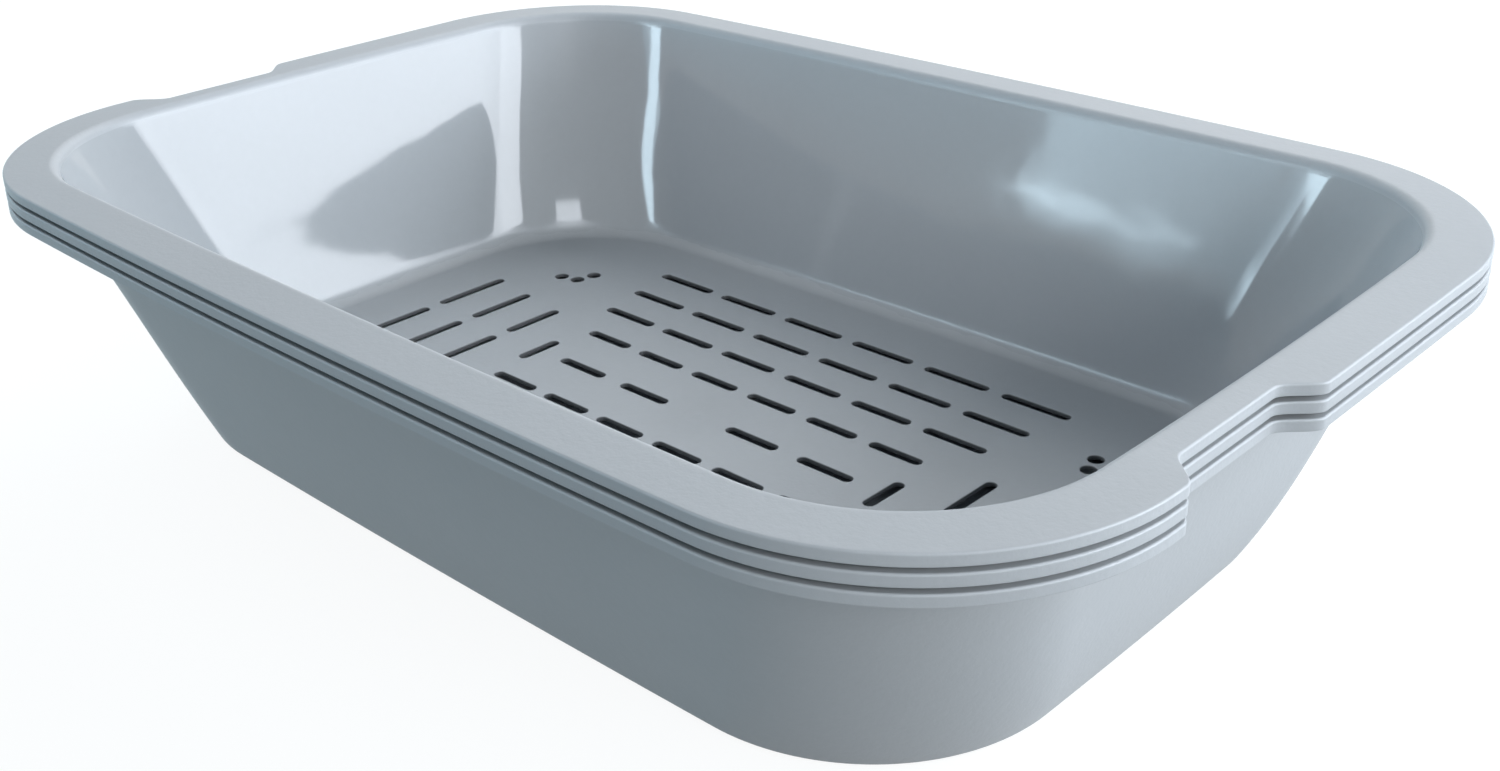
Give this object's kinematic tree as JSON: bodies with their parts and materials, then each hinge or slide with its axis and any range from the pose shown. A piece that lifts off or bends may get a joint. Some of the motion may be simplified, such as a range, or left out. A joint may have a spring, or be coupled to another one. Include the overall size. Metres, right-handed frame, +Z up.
{
  "type": "litter box",
  "caption": "Nesting sifting litter box: flanged solid pans under a matching tray with a slotted floor, lifted out one by one.",
  "frame": {"origin": "on the ground under the middle of the box", "axes": "+X along the long sides, +Y to the back long side away from the finger notches, +Z up"},
  "size_m": [0.53, 0.372, 0.119],
  "materials": {
    "pan_plastic": "gloss moulded polypropylene, blue-grey",
    "sifting_tray_plastic": "gloss moulded polypropylene, light blue-grey"
  },
  "bodies": {
    "lower_pan": {"lower_pan": "pan_plastic"},
    "upper_pan": {"upper_pan": "pan_plastic"},
    "sifting_tray": {"sifting_tray": "sifting_tray_plastic"}
  },
  "joints": [
    {"name": "upper_pan_lift", "type": "slide", "parent": "lower_pan", "child": "upper_pan", "axis": [0, 0, 1], "range_m": [0, 0.15]},
    {"name": "sifting_tray_lift", "type": "slide", "parent": "upper_pan", "child": "sifting_tray", "axis": [0, 0, 1], "range_m": [0, 0.15]}
  ]
}
